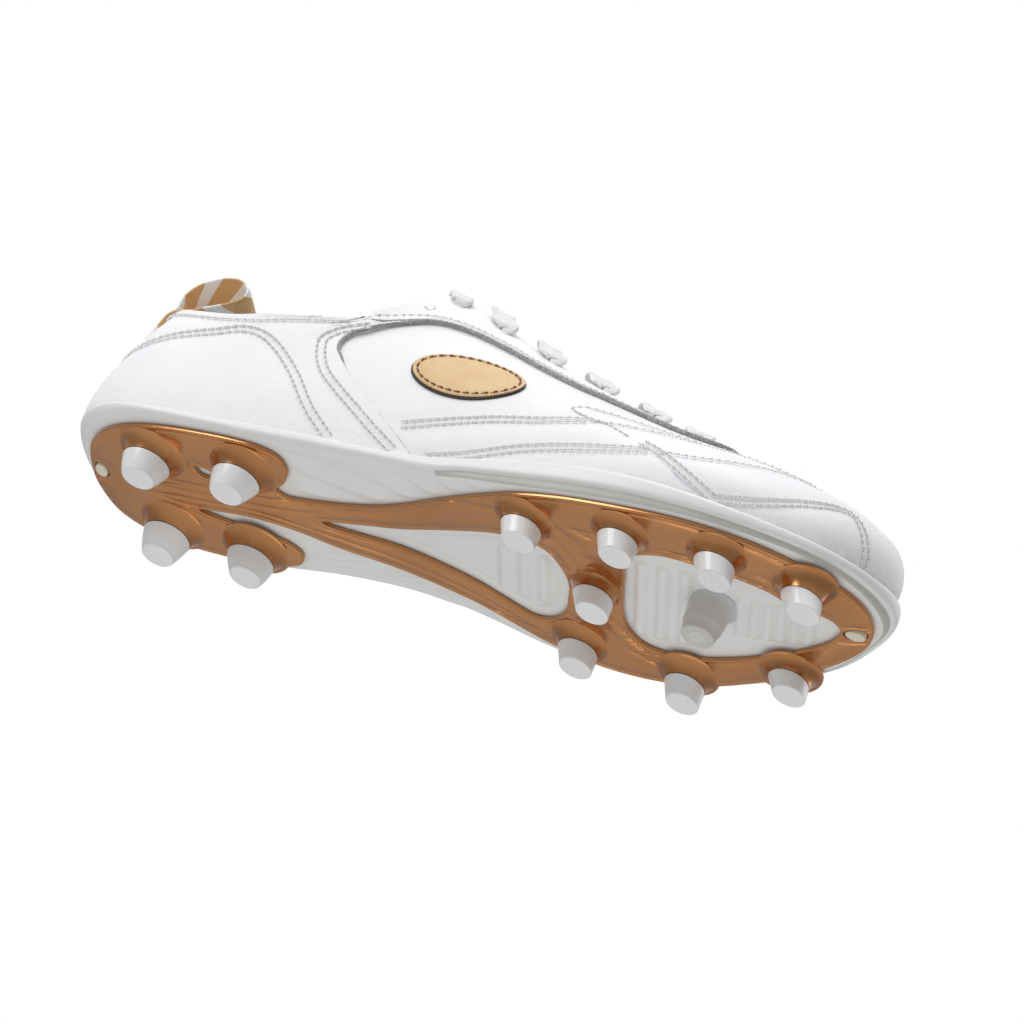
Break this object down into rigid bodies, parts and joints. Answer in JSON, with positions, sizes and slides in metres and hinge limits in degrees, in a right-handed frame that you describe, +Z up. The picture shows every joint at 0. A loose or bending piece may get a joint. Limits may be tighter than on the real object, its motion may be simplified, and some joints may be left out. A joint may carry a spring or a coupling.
{
  "type": "soccer cleat",
  "caption": "Low-cut right soccer cleat for firm ground: moulded stud outsole, lasted leather upper, laced throat with tongue, and a heel pull loop.",
  "frame": {"origin": "centre of the bounding box at ground level, in the plane of the stud tips", "axes": "+X towards the toe, +Y towards the inner (medial) side of a right foot, +Z up"},
  "size_m": [0.2806, 0.0956, 0.1085],
  "materials": {
    "sole_white": "moulded white, satin",
    "sole_gold": "metallic bronze-gold over moulded plastic, glossy",
    "stud_white": "moulded white, satin",
    "stud_frosted": "frosted, slightly translucent",
    "plug_cream": "matte cream",
    "board": "pressed fibre board",
    "sockliner": "knit-faced foam",
    "lining": "soft woven lining",
    "upper_leather": "fine-grained, satin white",
    "counter": "thermoplastic stiffener",
    "foam": "open-cell foam",
    "facing_leather": "fine-grained, satin white",
    "gold_leather": "pale metallic gold",
    "tongue": "soft white leather",
    "webbing": "woven tape, gold and white",
    "lace": "flat woven",
    "aglet": "clear wrapped film"
  },
  "bodies": {
    "boot": {"outsole_plate": "sole_white", "outsole_frame": "sole_gold", "stud_heel_lateral_rear": "stud_white", "stud_heel_lateral_front": "stud_white", "stud_heel_medial_rear": "stud_white", "stud_heel_medial_front": "stud_white", "stud_fore_lateral_1": "stud_white", "stud_fore_lateral_2": "stud_white", "stud_fore_lateral_3": "stud_white", "stud_fore_lateral_4": "stud_white", "stud_fore_centre_rear": "stud_white", "stud_fore_medial_1": "stud_white", "stud_fore_medial_2": "stud_white", "stud_fore_medial_3": "stud_white", "stud_fore_centre_front": "stud_frosted", "toe_plug": "plug_cream", "heel_plug": "plug_cream", "insole_board": "board", "sockliner": "sockliner", "quarter_lining": "lining", "vamp_lining": "lining", "vamp": "upper_leather", "heel_counter": "counter", "collar_foam": "foam", "mid_quarter_lateral": "upper_leather", "mid_quarter_medial": "upper_leather", "heel_quarter_lateral": "upper_leather", "heel_quarter_medial": "upper_leather", "facing_lateral": "facing_leather", "facing_medial": "facing_leather", "side_patch_lateral": "gold_leather", "side_patch_medial": "gold_leather", "lace": "lace", "aglet_lateral_end": "aglet", "aglet_medial_end": "aglet"},
    "tongue": {"tongue": "tongue"},
    "pull_loop": {"pull_loop": "webbing"}
  },
  "joints": [
    {"name": "tongue_fold", "type": "hinge", "parent": "boot", "child": "tongue", "pos_m": [0.08, 0.005, 0.0625], "axis": [0, -1, 0], "range_deg": [0, 7]},
    {"name": "pull_loop_flop", "type": "hinge", "parent": "boot", "child": "pull_loop", "pos_m": [-0.1285, 0.005, 0.0745], "axis": [0, -1, 0], "range_deg": [-8, 60]}
  ]
}
